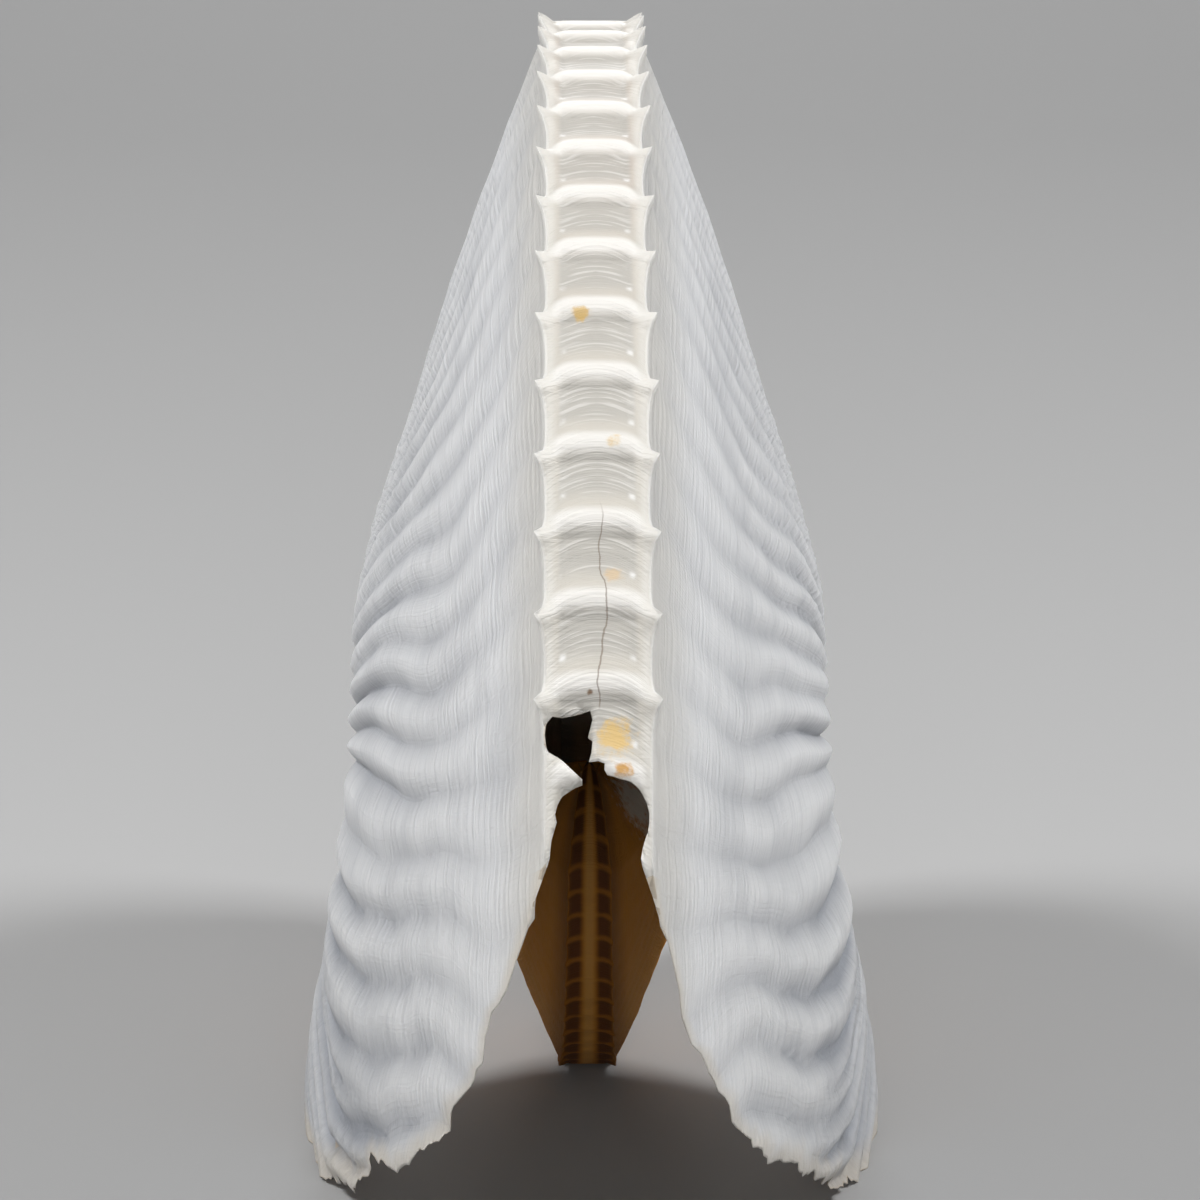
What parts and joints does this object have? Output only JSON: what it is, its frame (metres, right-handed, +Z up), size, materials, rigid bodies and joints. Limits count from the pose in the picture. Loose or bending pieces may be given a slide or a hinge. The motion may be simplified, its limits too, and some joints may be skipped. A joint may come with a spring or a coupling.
{
  "type": "paper nautilus shell",
  "caption": "Thin white argonaut egg case coiled in a flat spiral, with ribbed sides, a narrow keel edged by pointed nodes, a broken front and flared ears beside the open mouth.",
  "frame": {"origin": "centre of the bounding box on the surface that the shell rests on", "axes": "+X along the coil axis from side to side, -Y towards the broken front of the keel, +Z up"},
  "size_m": [0.0418, 0.1166, 0.0825],
  "materials": {
    "shell": "thin chalky shell with a low satin sheen, cool white on the sides, cream on the keel and brown on the early whorl"
  },
  "bodies": {
    "root": {"shell": "shell"}
  },
  "joints": []
}
